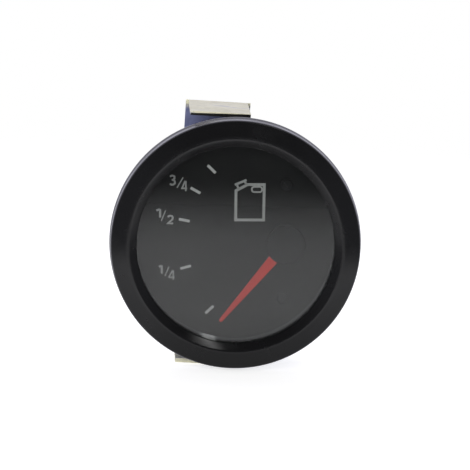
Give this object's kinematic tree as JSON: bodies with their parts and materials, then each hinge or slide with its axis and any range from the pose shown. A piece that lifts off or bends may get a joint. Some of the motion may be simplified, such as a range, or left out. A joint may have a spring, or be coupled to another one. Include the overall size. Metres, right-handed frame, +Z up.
{
  "type": "fuel gauge",
  "caption": "Round panel fuel gauge: black domed bezel, flat glass, dark dial with an offset red pointer, barrel case and a U bracket on studs behind.",
  "frame": {"origin": "on the gauge's axis, on the plane where the bezel's back meets the front of the panel", "axes": "+Y along the axis from the face to the back, +Z up across the dial, +X to the right as seen from the front"},
  "size_m": [0.06, 0.0547, 0.0612],
  "materials": {
    "black_enamel": "stoved gloss black",
    "dial_paint": "matt black",
    "glass": "polished",
    "seal_rubber": "moulded",
    "black_plastic": "moulded",
    "zinc_steel": "bright zinc plate",
    "mild_steel": "drawn",
    "brass": "turned",
    "tinned_brass": "tinned",
    "enamelled_copper": "varnished wire",
    "nylon": "moulded",
    "magnet": "sintered",
    "fibre_board": "sheet",
    "ceramic": "fired",
    "black_moulding": "moulded",
    "pointer_red": "painted",
    "cap_plastic": "moulded, matt",
    "bulb_glass": "blown"
  },
  "bodies": {
    "gauge": {"bezel": "black_enamel", "lens": "glass", "lens_seal": "seal_rubber", "spacer_ring": "black_plastic", "dial_plate": "dial_paint", "dial_screws": "black_enamel", "case_shell": "zinc_steel", "bridge_plate": "brass", "movement_pillars": "brass", "pillar_screws": "zinc_steel", "front_former": "nylon", "rear_former": "nylon", "inner_winding": "enamelled_copper", "outer_winding": "enamelled_copper", "shield_cup": "mild_steel", "front_bearing": "brass", "rear_bearing": "brass", "return_magnet": "magnet", "circuit_board": "fibre_board", "series_resistor": "ceramic", "mounting_studs": "zinc_steel", "terminal_insulator": "black_moulding", "supply_blade": "tinned_brass", "sender_blade": "tinned_brass", "earth_blade": "tinned_brass"},
    "pointer_arbor": {"pointer": "pointer_red", "pointer_cap": "cap_plastic", "spindle": "mild_steel", "rotor_magnet": "magnet"},
    "bracket": {"bracket": "zinc_steel", "lock_washers": "zinc_steel"},
    "upper_nut": {"upper_nut": "brass"},
    "lower_nut": {"lower_nut": "brass"},
    "lamp_holder": {"lamp_shell": "zinc_steel", "lamp_insulator": "fibre_board", "lamp_contact": "tinned_brass", "bulb_base": "brass", "bulb_glass": "bulb_glass"}
  },
  "joints": [
    {"name": "pointer_turn", "type": "hinge", "parent": "gauge", "child": "pointer_arbor", "pos_m": [0.012, 0, 0], "axis": [0, 1, 0], "range_deg": [0, 103]},
    {"name": "bracket_slide", "type": "slide", "parent": "gauge", "child": "bracket", "axis": [0, 1, 0], "range_m": [-0.0036, 0.006]},
    {"name": "upper_nut_turn", "type": "hinge", "parent": "bracket", "child": "upper_nut", "pos_m": [-0.0052, 0.0334, 0.013], "axis": [0, 1, 0], "range_deg": [-1852, 3087]},
    {"name": "lower_nut_turn", "type": "hinge", "parent": "bracket", "child": "lower_nut", "pos_m": [-0.0052, 0.0334, -0.013], "axis": [0, 1, 0], "range_deg": [-1852, 3087]},
    {"name": "lamp_holder_pull", "type": "slide", "parent": "gauge", "child": "lamp_holder", "axis": [0, 1, 0], "range_m": [0, 0.021]}
  ],
  "couplings": [
    {"joint": "upper_nut_turn", "follows": "bracket_slide", "rad_per_m": 8976},
    {"joint": "lower_nut_turn", "follows": "bracket_slide", "rad_per_m": 8976}
  ]
}
